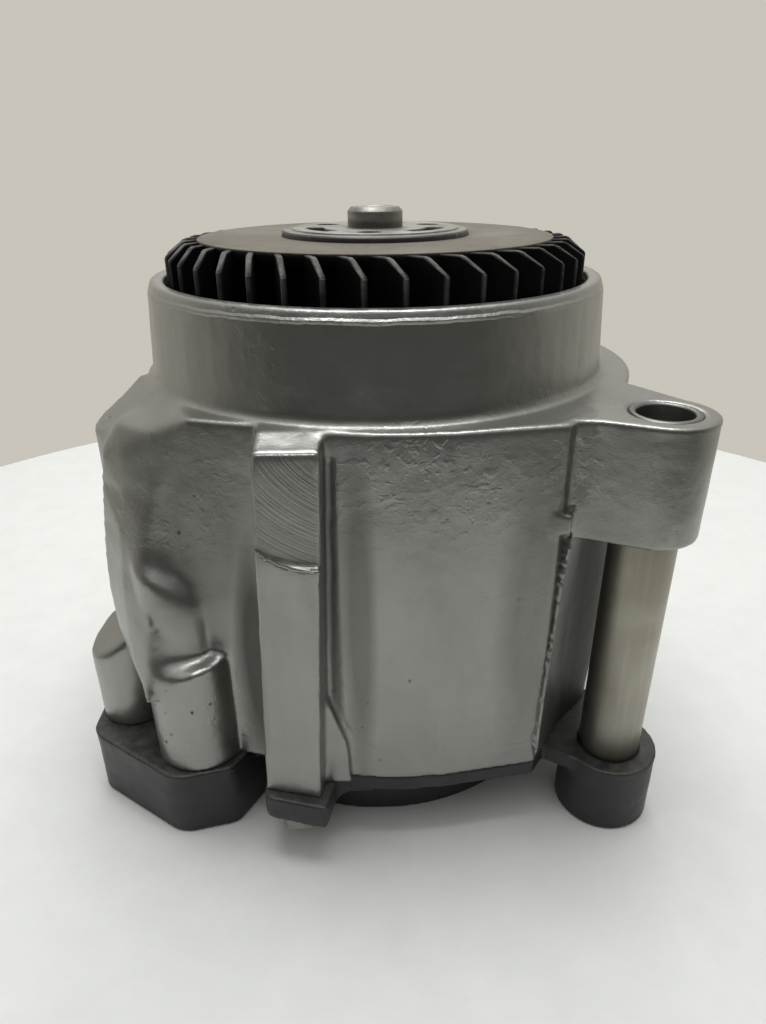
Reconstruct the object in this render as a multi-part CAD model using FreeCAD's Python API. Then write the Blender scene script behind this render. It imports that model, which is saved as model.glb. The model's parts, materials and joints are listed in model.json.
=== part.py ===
import FreeCAD, Part
import math
import os

# Belt driven two-vane air injection pump, in millimetres
# The origin is on the shaft axis at the pulley seat, and +Z points out of the pulley end
V = FreeCAD.Vector
UP = V(0, 0, 1)

# Driving sizes of the shaft, the pulley hub and the fan
pilot_r = 7.94
pilot_h = 5.5
pilot_chamfer = 1.2
hub_face_r = 24.0
hub_rim_r = 27.0
hub_rim_drop = 0.5
hub_flange_t = 5.0
hub_barrel_r = 14.0
hub_barrel_bottom = -22.0
pulley_bolt_pcr = 17.5
pulley_bolt_r = 3.4
pulley_bolt_angle = 25.0
pulley_bolt_count = 3
fan_r = 60.0
fan_disc_r = 50.8
fan_disc_z = -2.0
fan_disc_t = 3.0
fan_blade_drop = 3.6
fan_blade_level = 5.0
fan_blade_rake = 40.0
fan_blade_count = 40
fan_blade_t = 1.5
fan_bottom = -32.0
fan_hoop_r = 46.0
fan_hoop_t = 3.4
fan_sleeve_bottom = -20.0
shaft_r = 8.5
shaft_seat_r = 8.2

# Driving sizes of the housing
fan_gap = 1.0
rim_top = -12.0
rim_land = 3.6
skirt_draft = 1.4
rim_chamfer = 3.0
shoulder_z = -38.0
fan_floor_z = -36.0
foot_fillet = 2.0
bore_r = 62.5
bore_offset = 5.0
wall_t = 8.5
bore_top = -46.0
joint_z = -143.5
nose_fillet = 6.0
ear_x = 70.0
ear_y = -57.0
ear_r = 12.9
ear_depth = 32.0
nub_w = 5.5
nub_rise = 3.0
tube_r = 8.8
tube_bore_r = 6.9
chamber_wall = 4.5
roof_wall = 5.0
hollow_x = 44.0
window_rise = 22.0
passage_h = 10.0
floor_wall = 6.0

# Driving sizes of the rear cover
cover_depth = 22.5
flange_t = 5.0
tab_t = 8.2
tab_reach = 1.1
tab_skew = 4.5
tab_corner_r = 6.0
cover_ear_r = 14.0
pan_r = 62.0
pan_wall = 7.0
pan_depth = 3.5
pan_hub_r = 24.0
pan_rib_t = 5.0
port_r = 11.0
port_x = -69.0
port_y = 17.0
port_wall = 5.0
port_bolt_r = 3.4
port_bolt_reach = 21.5
port_bolt_depth = 18.0

# Driving sizes of the bearings, the rotor and the vanes
bearing_r = 20.0
bearing_t = 16.0
bearing_bottom = -44.0
ball_r = 3.4
ball_count = 8
snap_t = 1.2
snap_groove = 1.0
rotor_wall = 9.0
rotor_plate_t = 10.0
rotor_gap = 0.3
end_gap = 0.4
slot_floor_r = 34.0
shoe_t = 4.0
shoe_w = 7.5
spring_t = 0.35
spring_room = 0.8
axle_r = 6.0
axle_seat = 8.0
axle_chamfer = 0.8
knuckle_r = 11.0
knuckle_count = 4
bush_t = 2.0
vane_t = 4.5
vane_band = 22.0
vane_gap = 0.25
ring_t = 4.0
ring_screw_grip = 11.0
ring_screw_head_r = 4.2
ring_hub_t = 12.0
rear_boss_r = 17.0
race_t = 3.0
needle_r = 1.5
needle_count = 16
cage_t = 1.2
fit_gap = 0.05
tap_r = 2.5
cover_bolt_r = 4.0
cover_bolt_len = 26.0
cover_bolt_head_r = 6.6
cover_bolt_head_t = 6.0
dowel_r = 3.0
dowel_up = 8.0
cover_boss_r = 9.0
seal_w = 3.6

# Sizes that follow from the driving ones
floor_z = joint_z - cover_depth
rim_r = fan_r + fan_gap
land_r = rim_r + rim_land
skirt_top_r = land_r + 1.1
body_r = bore_r + wall_t
rotor_r = bore_r - bore_offset - rotor_gap
drum_r = rotor_r - rotor_wall
rotor_top = bore_top - end_gap
rotor_bottom = joint_z + end_gap
plate_bottom = rotor_top - rotor_plate_t
slot_half = vane_t / 2 + bore_offset + vane_gap
vane_tip = bore_r - vane_gap
vane_top = bore_top - vane_gap
vane_bottom = joint_z + vane_gap
boss_top = rotor_bottom + ring_hub_t + end_gap
axle_top = plate_bottom - 1.5
ring_top = rotor_bottom + ring_t
front_boss_r = bearing_r + 6.0
bearing_top = bearing_bottom + bearing_t
boss_rim = bearing_top + 4.0
seal_depth = 1.2
front_seal_r = 27.0
dowel_down = flange_t - 1.0
ball_pitch = (bearing_r + shaft_r) / 2
outer_groove_r = ball_pitch + ball_r * 0.6
inner_groove_r = ball_pitch - ball_r * 0.6
ball_z = bearing_bottom + bearing_t / 2
inner_race_r = rear_boss_r + race_t
needle_pitch = inner_race_r + fit_gap + needle_r
outer_race_r = needle_pitch + needle_r + fit_gap
ring_bore_r = outer_race_r + race_t
ring_hub_r = ring_bore_r + 4.0
rear_seal_r = (ring_hub_r + slot_floor_r) / 2
pocket_r = drum_r + (rotor_wall - shoe_w) / 2
ring_screw_r = drum_r + rotor_wall / 2

# Plan of the intake chamber from the front web to its back, with the slanted roof's point and normal
front_web = [(16.0, -70.6), (45.2, -65.5), (56.0, -49.5)]
chamber = [(-12.0, -68.0), (-45.4, -59.0), (-67.5, -50.0), (-80.5, -31.0), (-64.0, -13.0)]
chamber_core = [(5.0, -10.0), (5.0, -40.0)]
web_core = (20.0, -40.0)
roof_point = V(-45.4, -58.6, shoulder_z)
roof_normal = V(-0.479, -0.273, 0.834)

# Plan of the outlet chamber behind it, with a flat roof
outlet_roof_z = -62.0
outlet = [(-62.0, -16.0), (-78.0, -22.0), (-84.0, -4.0), (-84.0, 30.0), (-62.0, 52.0), (-30.0, 61.0)]
outlet_core = [(5.0, 40.0), (5.0, -10.0)]

# Bolt lobes on the chambers: centre, radius, height of the top at the centre, and its fall in degrees
lobe_a = (-80.0, -37.5, 10.5, -111.0, 38.0)
lobe_b = (-54.8, -54.5, 13.2, -107.5, 8.0)
lobe_d = (port_x, port_y + port_bolt_reach, 10.5, -111.0, 38.0)

# Rounded ramp above lobe b: the upright column's centre and radius, and the radius and axis of its top
ramp_x = -56.5
ramp_y = -50.5
ramp_r = 11.5
ramp_top_r = 23.3
ramp_top_x = -69.5
ramp_top_z = -103.0

# Groove beside the rib: its width at the top and depth in the wall
groove_w = 3.0
groove_depth = 2.6

# Plan of the rib with the milled pad
rib_left = -28.2
rib_right = -13.0
rib_front = -76.2
rib_lean = 4.6
rib_lean_right = 4.1
rib_top_twist = 0.6
rib_foot_twist = 1.8
rib_depth = 19.0
rib_top_fall = 3.6
rib_top_run = 9.0
pad_depth = 1.2
pad_drop = 32.0
pad_arc_r = 24.0
gusset_top = -108.0
gusset_x = -8.6

# Places of the fasteners in plan, and the thickness that each cover bolt holds
tab_bolt = (-23.8, -70.0, tab_t)
lobe_bolts = [(lobe_a[0], lobe_a[1], flange_t), (lobe_b[0], lobe_b[1], flange_t)]
boss_bolts = [(38.0, 63.5, flange_t), (-40.0, 58.5, flange_t), (68.0, 32.0, flange_t)]
cover_bolts = [tab_bolt] + lobe_bolts + boss_bolts
dowel_places = [(2.0, -66.8), (5.0, 66.8)]
port_bolts = [(port_x, port_y - port_bolt_reach), (port_x, port_y + port_bolt_reach)]


def disc(r, bottom, top, x=0.0, y=0.0):
    return Part.makeCylinder(r, top - bottom, V(x, y, bottom))


def ring(r_out, r_in, bottom, top, x=0.0, y=0.0):
    return disc(r_out, bottom, top, x, y).cut(disc(r_in, bottom - 1, top + 1, x, y))


def box(x0, x1, y0, y1, z0, z1):
    return Part.makeBox(x1 - x0, y1 - y0, z1 - z0, V(x0, y0, z0))


def prism(points, bottom, top):
    loop = [V(x, y, bottom) for x, y in points]
    face = Part.Face(Part.makePolygon(loop + [loop[0]]))
    return face.extrude(V(0, 0, top - bottom))


def lathe(profile):
    loop = [V(r, 0, z) for r, z in profile]
    face = Part.Face(Part.makePolygon(loop + [loop[0]]))
    return face.revolve(V(0, 0, 0), UP, 360)


def turned(shape, degrees, x=0.0, y=0.0):
    copy = shape.copy()
    copy.rotate(V(x, y, 0), UP, degrees)
    return copy


def polar(r, degrees, x=0.0, y=0.0):
    a = math.radians(degrees)
    return x + r * math.cos(a), y + r * math.sin(a)


def fuse_all(shapes):
    return shapes[0].multiFuse(shapes[1:]).removeSplitter()


def upright_edges(shape, place, near=0.5):
    found = []
    for edge in shape.Edges:
        a = edge.Vertexes[0].Point
        b = edge.Vertexes[-1].Point
        if math.hypot(a.x - b.x, a.y - b.y) < 1e-6 and abs(a.z - b.z) > 1:
            if math.hypot(a.x - place[0], a.y - place[1]) < near:
                found.append(edge)
    return found


def half_space(point, normal):
    # A tall block on the side of the plane that its normal points to
    side = 400.0
    block = Part.makeBox(side, side, side, V(-side / 2, -side / 2, 0))
    block.Placement = FreeCAD.Placement(point, FreeCAD.Rotation(UP, normal))
    return block


def roof_cut(drop=0.0):
    return half_space(roof_point - roof_normal * drop, roof_normal)


def cut_each(solid, tools):
    for tool in tools:
        solid = solid.cut(tool)
    return solid


def intake_chamber():
    # Front left chamber: a prism with a rounded nose under a slanted roof
    solid = prism(chamber + chamber_core, joint_z, shoulder_z)
    for corner in (chamber[2], chamber[3]):
        solid = solid.makeFillet(nose_fillet, upright_edges(solid, corner))
    return solid.cut(roof_cut())


def outlet_chamber():
    # Back left chamber with a flat roof
    solid = prism(outlet + outlet_core, joint_z, outlet_roof_z)
    for corner in outlet[1:5]:
        solid = solid.makeFillet(nose_fillet, upright_edges(solid, corner))
    return solid


def sloped_lobe(lobe):
    # A bolt lobe whose top falls away from the wall behind it
    x, y, r, top, fall = lobe
    solid = disc(r, joint_z, top + r, x, y)
    away = V(x - bore_offset, y, 0).normalize()
    a = math.radians(fall)
    return solid.cut(half_space(V(x, y, top), away * math.sin(a) + UP * math.cos(a)))


def ramp():
    # Column above lobe b whose top is a rounded ramp that falls to the right
    column = disc(ramp_r, joint_z, shoulder_z, ramp_x, ramp_y)
    foot = V(ramp_top_x, ramp_y - 2 * ramp_r, ramp_top_z)
    crown = Part.makeCylinder(ramp_top_r, 4 * ramp_r, foot, V(0, 1, 0))
    trunk = box(ramp_top_x - ramp_top_r, ramp_top_x + ramp_top_r, ramp_y - 2 * ramp_r, ramp_y + 2 * ramp_r,
                joint_z, ramp_top_z)
    return column.common(crown.fuse(trunk))


def rib_groove():
    # Groove in the body wall along the right side of the rib, leaning as the rib does
    wires = []
    for lean, z in ((rib_lean_right, joint_z - 1), (0.0, shoulder_z - 6)):
        x = rib_right - lean
        loop = [V(x - 1, -body_r - 12, z), V(x + groove_w, -body_r - 12, z),
                V(x + groove_w, -body_r + groove_depth, z), V(x - 1, -body_r + groove_depth, z)]
        wires.append(Part.makePolygon(loop + [loop[0]]))
    return Part.makeLoft(wires, True, True)


def rib():
    # Front rib with a milled pad at its top for the adjusting bracket
    back = rib_front + rib_depth
    top = [(rib_left, rib_front + rib_top_twist), (rib_right, rib_front - rib_top_twist),
           (rib_right + 2.0, back), (rib_left, back)]
    foot = [(rib_left - rib_lean, rib_front + rib_foot_twist), (rib_right - rib_lean_right, rib_front - rib_foot_twist),
            (rib_right - rib_lean_right + 3.5, back), (rib_left - rib_lean, back)]
    wires = []
    for points, z in ((foot, joint_z), (top, shoulder_z)):
        loop = [V(x, y, z) for x, y in points]
        wires.append(Part.makePolygon(loop + [loop[0]]))
    solid = Part.makeLoft(wires, True, True)
    slope = V(0, -rib_top_fall, rib_top_run).normalize()
    solid = solid.cut(half_space(V(0, rib_front + rib_top_run, shoulder_z), slope))
    pad = Part.makeCylinder(pad_arc_r, pad_depth + 1, V(0, rib_front - 1, 0), V(0, 1, 0))
    pad.translate(V(rib_right - 2.0, 0, shoulder_z - pad_drop + pad_arc_r))
    return solid.cut(pad)


def gusset():
    # Small web in the groove beside the rib, wider towards the joint
    x0 = rib_right - rib_lean_right - 0.5
    y0 = rib_front + 4.0
    side = [V(x0, y0, joint_z), V(gusset_x, y0, joint_z), V(gusset_x - 0.8, y0, joint_z + 14),
            V(x0 + 1.2, y0, gusset_top), V(x0, y0, gusset_top)]
    return Part.Face(Part.makePolygon(side + [side[0]])).extrude(V(0, 8, 0))


def skirt():
    # Fan skirt: a turned ring with a chamfered rim, casting draft and a foot fillet
    foot_r = skirt_top_r + skirt_draft
    rise = shoulder_z + foot_fillet
    arc = [(foot_r + foot_fillet - foot_fillet * math.cos(a), rise - foot_fillet * math.sin(a))
           for a in (math.radians(30), math.radians(60), math.radians(90))]
    rim = [(rim_r, fan_floor_z - 2), (rim_r, rim_top), (land_r, rim_top)]
    rim.append((skirt_top_r, rim_top - rim_chamfer))
    base = [(foot_r + foot_fillet, shoulder_z - 3), (rim_r, shoulder_z - 3)]
    return lathe(rim + [(foot_r, rise)] + arc + base)


def housing_ear():
    # Upper ear for the mounting tube, joined to the body by a web
    bottom = shoulder_z - ear_depth
    block = disc(ear_r, bottom, shoulder_z, ear_x, ear_y)
    web = prism([(43.0, -62.0), (52.0, -63.2), (ear_x - 4.6, ear_y - ear_r + 0.9), (ear_x, ear_y),
                 (ear_x + ear_r - 0.6, ear_y + 3.8), (68.0, -30.0), (40.0, -30.0)], bottom, shoulder_z)
    return block.fuse(web)


def corner_nub():
    # Casting nub under the ear, on the parting edge
    x, y = front_web[1]
    low = shoulder_z - ear_depth + nub_rise
    return box(x - nub_w / 2, x + nub_w / 2, y - 0.6, y + nub_w, low, low + nub_w)


def housing_outer():
    # All solid forms of the casting before the hollows are cut
    body = disc(body_r, joint_z, shoulder_z, bore_offset, 0)
    forms = [body.cut(rib_groove()), prism(front_web + [web_core], joint_z, shoulder_z)]
    forms += [intake_chamber(), outlet_chamber(), skirt(), housing_ear(), corner_nub(), rib(), gusset(), ramp()]
    forms += [sloped_lobe(lobe) for lobe in (lobe_a, lobe_b, lobe_d)]
    forms.append(disc(front_boss_r, fan_floor_z - floor_wall, boss_rim))
    forms.append(disc(rim_r + 1, bore_top, fan_floor_z))
    for x, y, grip in boss_bolts:
        forms.append(disc(cover_boss_r, joint_z, shoulder_z - 45, x, y))
    return fuse_all(forms)


def chamber_hollow(plan, core, roof, back_y, front_y):
    # Hollow of one port chamber, inside its walls and clear of the bore wall and the bolt lobes
    middle_x, middle_y = bore_offset, 0.0
    inner = []
    for x, y in plan:
        reach = math.hypot(x - middle_x, y - middle_y)
        scale = (reach - chamber_wall * 1.5) / reach
        inner.append((middle_x + (x - middle_x) * scale, middle_y + (y - middle_y) * scale))
    solid = prism(inner + core, joint_z - 1, roof - roof_wall)
    solid = solid.cut(disc(bore_r + chamber_wall, joint_z - 2, 0, bore_offset, 0))
    for lobe in (lobe_a, lobe_b, lobe_d):
        solid = solid.cut(disc(lobe[2] - 2.0, joint_z - 2, lobe[3] + 4, lobe[0], lobe[1]))
    return solid.common(box(-2 * body_r, -hollow_x, back_y, front_y, joint_z - 2, 0))


def housing_hollows():
    # Bore, chambers, port windows, bearing seat and bolt holes
    tools = [disc(bore_r, joint_z - 1, bore_top, bore_offset, 0)]
    tools.append(chamber_hollow(chamber, chamber_core, shoulder_z, -44.0, -17.5).cut(roof_cut(roof_wall)))
    tools.append(chamber_hollow(outlet, outlet_core, outlet_roof_z, -11.0, 43.0))
    window_low = joint_z + window_rise
    tools.append(box(-68, -hollow_x, -38, -19, window_low, bore_top - 16))
    tools.append(box(-68, -hollow_x, 2, 30, window_low, outlet_roof_z - roof_wall - 4))
    passage = box(-72, -54, -33, -19, fan_floor_z - passage_h, fan_floor_z + 3)
    inside = passage.common(disc(rim_r, -60, 0))
    tools.append(passage.cut(roof_cut(roof_wall)).fuse(inside))
    tools.append(disc(bearing_r, bearing_bottom, boss_rim + 1))
    tools.append(disc(bearing_r - 3.0, bore_top - 1, boss_rim))
    tools.append(ring(bearing_r + snap_groove, bearing_r - 1, bearing_top, bearing_top + snap_t))
    tools.append(disc(tube_r, shoulder_z - ear_depth - 1, shoulder_z + 1, ear_x, ear_y))
    for x, y, grip in cover_bolts:
        tools.append(disc(cover_bolt_r, joint_z - 1, joint_z + cover_bolt_len - grip + 2, x, y))
    for x, y in dowel_places:
        tools.append(disc(dowel_r, joint_z - 1, joint_z + dowel_up, x, y))
    return tools


def housing():
    return cut_each(housing_outer(), housing_hollows())


def cover_plan(bottom, top):
    # Flange outline: body circle, bolt bosses, front web and the neck to the ear
    forms = [disc(body_r, bottom, top, bore_offset, 0)]
    forms.append(prism(front_web + [web_core], bottom, top))
    for x, y, grip in boss_bolts:
        forms.append(disc(cover_boss_r, bottom, top, x, y))
    neck = [(50.0, -60.0), (ear_x - 2.0, ear_y - cover_ear_r + 0.5), (ear_x + cover_ear_r - 1.0, ear_y + 4.0),
            (66.0, -28.0), (45.0, -45.0)]
    forms.append(prism(neck, bottom, top))
    return fuse_all(forms)


def cover_tab():
    # Front tab under the rib, thicker than the flange, with a fillet to the flange's edge
    left = rib_left - rib_lean - 0.6
    right = rib_right - rib_lean_right + 1.8
    front = rib_front - tab_reach
    edge = body_r - 2.6
    back = edge - 18.0
    outline = [(left, front), (right, front - tab_skew), (right + 3.0, -edge), (bore_offset - 7.0, -edge),
               (bore_offset - 7.0, -back), (left, -back)]
    solid = prism(outline, joint_z - tab_t, joint_z)
    for corner, r in ((outline[0], 4.0), (outline[1], 1.2), (outline[2], tab_corner_r)):
        solid = solid.makeFillet(r, upright_edges(solid, corner))
    return solid


def cover_lobe():
    # Deep lobe on the left that closes both chambers and carries the outlet port
    outline = [(-44.0, -66.5), (-60.5, -70.5), (-91.0, -50.5), (-92.0, 38.0), (-74.0, 53.0), (-53.0, 56.0),
               (-52.0, 20.0), (-52.0, -20.0), (-36.0, -52.0)]
    radii = (5.0, 10.0, 9.0, 12.0, 10.0)
    solid = prism(outline, floor_z, joint_z)
    for corner, r in zip(outline, radii):
        solid = solid.makeFillet(r, upright_edges(solid, corner))
    return solid


def pan_recess():
    # Shallow turned recess under the middle, crossed by six ribs
    top = floor_z + pan_depth
    recess = ring(pan_r - pan_wall, pan_hub_r, floor_z - 1, top)
    for k in range(6):
        bar = box(pan_hub_r - 1, pan_r, -pan_rib_t / 2, pan_rib_t / 2, floor_z - 2, top + 1)
        recess = recess.cut(turned(bar, 60 * k + 30))
    return recess.cut(disc(port_r + port_wall, floor_z - 2, top + 1, port_x, port_y))


def rear_cover():
    # Cast cover: flange plate, front tab, deep lobe, ear, pan in the middle and the boss for the rotor
    flange_bottom = joint_z - flange_t
    forms = [cover_plan(flange_bottom, joint_z), cover_tab(), cover_lobe()]
    forms.append(disc(cover_ear_r, floor_z, joint_z, ear_x, ear_y))
    forms.append(disc(pan_r, floor_z, flange_bottom + 1))
    forms.append(disc(rear_boss_r, joint_z - 1, boss_top))
    tools = [pan_recess()]
    tools.append(disc(port_r, floor_z - 1, joint_z + 1, port_x, port_y))
    tools.append(disc(tube_r, flange_bottom, joint_z + 1, ear_x, ear_y))
    tools.append(disc(tube_bore_r, floor_z - 1, joint_z, ear_x, ear_y))
    tools.append(disc(axle_r, joint_z - axle_seat, boss_top + 1, bore_offset, 0))
    for x, y, grip in cover_bolts:
        tools.append(disc(cover_bolt_r, floor_z - 1, joint_z + 1, x, y))
        tools.append(disc(cover_bolt_head_r + 1.4, floor_z - 1, joint_z - grip, x, y))
    for x, y in dowel_places:
        tools.append(disc(dowel_r, joint_z - dowel_down, joint_z + 1, x, y))
    for x, y in port_bolts:
        tools.append(disc(port_bolt_r, floor_z - 1, floor_z + port_bolt_depth, x, y))
    return cut_each(fuse_all(forms), tools)


def hexagon(across, bottom, top, x, y):
    r = across / math.sqrt(3)
    return prism([polar(r, 60 * k, x, y) for k in range(6)], bottom, top)


def cover_bolt_set():
    bolts = []
    for x, y, grip in cover_bolts:
        seat = joint_z - grip
        shank = disc(cover_bolt_r, seat, seat + cover_bolt_len, x, y)
        washer = disc(cover_bolt_head_r, seat - 1.2, seat, x, y)
        head = hexagon(cover_bolt_head_r * 1.85, seat - cover_bolt_head_t, seat - 1.2, x, y)
        bolts.append(fuse_all([shank, washer, head]))
    return Part.Compound(bolts)


def cover_dowel_set():
    # Two pins that line the cover up with the housing
    low, high = joint_z - dowel_down, joint_z + dowel_up
    return Part.Compound([disc(dowel_r, low, high, x, y) for x, y in dowel_places])


def vane_axle():
    # Fixed pin in the cover that the vanes hinge on, with a chamfered top
    pin = disc(axle_r, joint_z - axle_seat, axle_top - axle_chamfer, bore_offset, 0)
    foot = V(bore_offset, 0, axle_top - axle_chamfer)
    return fuse_all([pin, Part.makeCone(axle_r, axle_r - axle_chamfer, axle_chamfer, foot)])


def drive_shaft():
    journal = [(0, plate_bottom), (shaft_r, plate_bottom), (shaft_r, hub_barrel_bottom)]
    seat = [(shaft_seat_r, hub_barrel_bottom), (shaft_seat_r, 0), (pilot_r, 0)]
    pilot = [(pilot_r, pilot_h - pilot_chamfer), (pilot_r - pilot_chamfer, pilot_h), (0, pilot_h)]
    return lathe(journal + seat + pilot)


def pulley_hub():
    # Pressed hub with a flange for the pulley, three tapped holes and three puller slots
    profile = [(shaft_seat_r, hub_barrel_bottom), (hub_barrel_r, hub_barrel_bottom), (hub_barrel_r, -hub_flange_t),
               (hub_rim_r, -hub_flange_t), (hub_rim_r, -hub_rim_drop - 0.4), (hub_rim_r - 0.6, -hub_rim_drop),
               (hub_face_r, -hub_rim_drop), (hub_face_r, 0), (shaft_seat_r, 0)]
    solid = lathe(profile)
    step = 360.0 / pulley_bolt_count
    tools = []
    for k in range(pulley_bolt_count):
        x, y = polar(pulley_bolt_pcr, pulley_bolt_angle + step * k)
        tools.append(disc(pulley_bolt_r, -hub_flange_t - 1, 1, x, y))
        middle = pulley_bolt_angle + step * (k + 0.5)
        sector = prism([(0, 0), polar(40, middle - 24), polar(40, middle + 24)], -hub_flange_t - 1, 1)
        tools.append(ring(pulley_bolt_pcr + 2.6, pulley_bolt_pcr - 2.6, -hub_flange_t - 1, 1).common(sector))
    return cut_each(solid, tools)


def rake_reach(r):
    # Distance along a raked blade from the disc's rim to a given radius
    across = fan_disc_r * math.sin(math.radians(fan_blade_rake))
    return math.sqrt(r * r - across * across) - fan_disc_r * math.cos(math.radians(fan_blade_rake))


def fan_blade():
    # One flat blade, raked forward, with a level top edge that drops to a chamfered outer corner
    root = fan_disc_r + rake_reach(fan_hoop_r - fan_hoop_t / 2)
    tip = fan_disc_r + rake_reach(fan_r)
    lip = fan_disc_z - 0.4
    side = [V(root, 0, fan_bottom), V(tip - 1.2, 0, fan_bottom), V(tip, 0, fan_bottom + 4),
            V(tip, 0, lip - fan_blade_drop), V(fan_disc_r + fan_blade_level, 0, lip), V(root, 0, lip)]
    blade = Part.Face(Part.makePolygon(side + [side[0]])).extrude(V(0, fan_blade_t, 0))
    blade.translate(V(0, -fan_blade_t / 2, 0))
    blade.rotate(V(fan_disc_r, 0, 0), UP, fan_blade_rake)
    return blade.common(disc(fan_r, fan_bottom, fan_disc_z))


def fan():
    # Centrifugal filter fan: a disc on a hub sleeve, with blades round its edge tied by a hoop
    under = fan_disc_z - fan_disc_t
    sleeve_r = hub_barrel_r + 3.0
    face = [(hub_barrel_r, -hub_flange_t), (hub_rim_r, -hub_flange_t), (hub_rim_r, fan_disc_z)]
    rim = [(fan_disc_r, fan_disc_z), (fan_disc_r, under), (sleeve_r + 12, under)]
    sleeve = [(sleeve_r, under - 6), (sleeve_r, fan_sleeve_bottom), (hub_barrel_r, fan_sleeve_bottom)]
    web = lathe(face + rim + sleeve)
    hoop = ring(fan_hoop_r, fan_hoop_r - fan_hoop_t, fan_bottom, under + 1)
    blade = fan_blade()
    blades = [turned(blade, 360.0 / fan_blade_count * k) for k in range(fan_blade_count)]
    return fuse_all([web, hoop] + blades)


def bearing_race(r_out, r_in):
    # One ball race with a groove at the middle of its width
    groove = Part.makeTorus(ball_pitch, ball_r + fit_gap, V(0, 0, ball_z))
    return ring(r_out, r_in, bearing_bottom, bearing_top).cut(groove)


def bearing_balls():
    places = [polar(ball_pitch, 360.0 / ball_count * k) for k in range(ball_count)]
    return Part.Compound([Part.makeSphere(ball_r, V(x, y, ball_z)) for x, y in places])


def ball_cage():
    # Machined cage with one round pocket for each ball
    half = ball_r + 1.0
    cage = ring(ball_pitch + cage_t, ball_pitch - cage_t, ball_z - half, ball_z + half)
    pocket = Part.makeCylinder(ball_r + fit_gap, bearing_r, V(0, 0, ball_z), V(1, 0, 0))
    return cut_each(cage, [turned(pocket, 360.0 / ball_count * k) for k in range(ball_count)])


def bearing_shield():
    # Ring pressed in the outer race, which closes the bearing towards the fan
    return ring(outer_groove_r, inner_groove_r + 0.1, bearing_top - 1.6, bearing_top - 0.8)


def snap_ring():
    # Split ring over the bearing, in a groove of the housing
    whole = ring(bearing_r + snap_groove, bearing_r - 2.2, bearing_top, bearing_top + snap_t)
    gap = prism([(0, 0), polar(40, 80), polar(40, 100)], bearing_top - 1, bearing_top + 3)
    return whole.cut(gap)


def slot_pair(half, r_in, r_out, bottom, top):
    # Two opposite slots along X
    return box(r_in, r_out, -half, half, bottom, top).fuse(box(-r_out, -r_in, -half, half, bottom, top))


def ring_screw_places():
    return [polar(ring_screw_r, a) for a in (35, 90, 145, 215, 270, 325)]


def screw_head(x, y):
    return Part.makeCone(ring_screw_head_r, tap_r, ring_screw_head_r - tap_r, V(x, y, rotor_bottom))


def seal_ring(r, bottom, top):
    return ring(r + seal_w / 2, r - seal_w / 2, bottom, top)


def rotor_drum():
    # Rotor cup with two slots for the vanes and pockets for the carbon shoes
    cup = disc(rotor_r, ring_top, rotor_top).cut(disc(drum_r, rotor_bottom, plate_bottom))
    tools = [slot_pair(slot_half, slot_floor_r, rotor_r + 5, rotor_bottom - 1, rotor_top + 1)]
    tools.append(slot_pair(slot_half + shoe_t, pocket_r, pocket_r + shoe_w, rotor_bottom - 1, plate_bottom))
    tools.append(disc(shaft_r, plate_bottom - 1, rotor_top + 1))
    tools.append(seal_ring(front_seal_r, rotor_top - seal_depth, rotor_top + 1))
    for x, y in ring_screw_places():
        tools.append(disc(tap_r, rotor_bottom, ring_top + ring_screw_grip + 1, x, y))
    return cut_each(cup, tools)


def rotor_ring():
    # Steel ring screwed to the rotor's rear end, with a hub for the needle bearing
    hub_top = rotor_bottom + ring_hub_t
    solid = disc(rotor_r, rotor_bottom, ring_top).fuse(disc(ring_hub_r, rotor_bottom, hub_top))
    tools = [disc(ring_bore_r, rotor_bottom - 1, hub_top + 1)]
    tools.append(slot_pair(slot_half, slot_floor_r, rotor_r + 5, rotor_bottom - 1, ring_top + 1))
    tools.append(seal_ring(rear_seal_r, rotor_bottom - 1, rotor_bottom + seal_depth))
    for x, y in ring_screw_places():
        tools.append(disc(tap_r, rotor_bottom - 1, ring_top + 1, x, y))
        tools.append(screw_head(x, y))
    return cut_each(solid, tools)


def ring_screws():
    # Countersunk socket screws that hold the ring on the drum
    screws = []
    for x, y in ring_screw_places():
        shank = disc(tap_r, rotor_bottom + 1, ring_top + ring_screw_grip, x, y)
        socket = hexagon(3.0, rotor_bottom - 1, rotor_bottom + 1.6, x, y)
        screws.append(shank.fuse(screw_head(x, y)).cut(socket).removeSplitter())
    return Part.Compound(screws)


def needle_bearing():
    # Needles on the cover's boss race, and the cage that spaces them
    low = rotor_bottom + 2.0
    high = rotor_bottom + ring_hub_t - 2.0
    places = [polar(needle_pitch, 360.0 / needle_count * k) for k in range(needle_count)]
    needles = Part.Compound([disc(needle_r, low, high, x, y) for x, y in places])
    cage = ring(needle_pitch + 0.9, needle_pitch - 0.9, low - 1.2, high + 1.2)
    windows = [disc(needle_r + 0.02, low - 0.02, high + 0.02, x, y) for x, y in places]
    return needles, cut_each(cage, windows)


def carbon_shoes(side):
    # One shoe in each rotor slot, on the leading side (1) or the trailing side (-1)
    thickness = shoe_t - spring_room if side > 0 else shoe_t
    low = ring_top + 0.1
    high = plate_bottom - 0.1
    shoes = []
    for k in (0, 1):
        shoe = box(pocket_r + 0.1, pocket_r + shoe_w - 0.1, slot_half, slot_half + thickness, low, high)
        if side < 0:
            shoe = shoe.mirror(V(0, 0, 0), V(0, 1, 0))
        shoes.append(turned(shoe, 180 * k))
    return Part.Compound(shoes)


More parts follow.
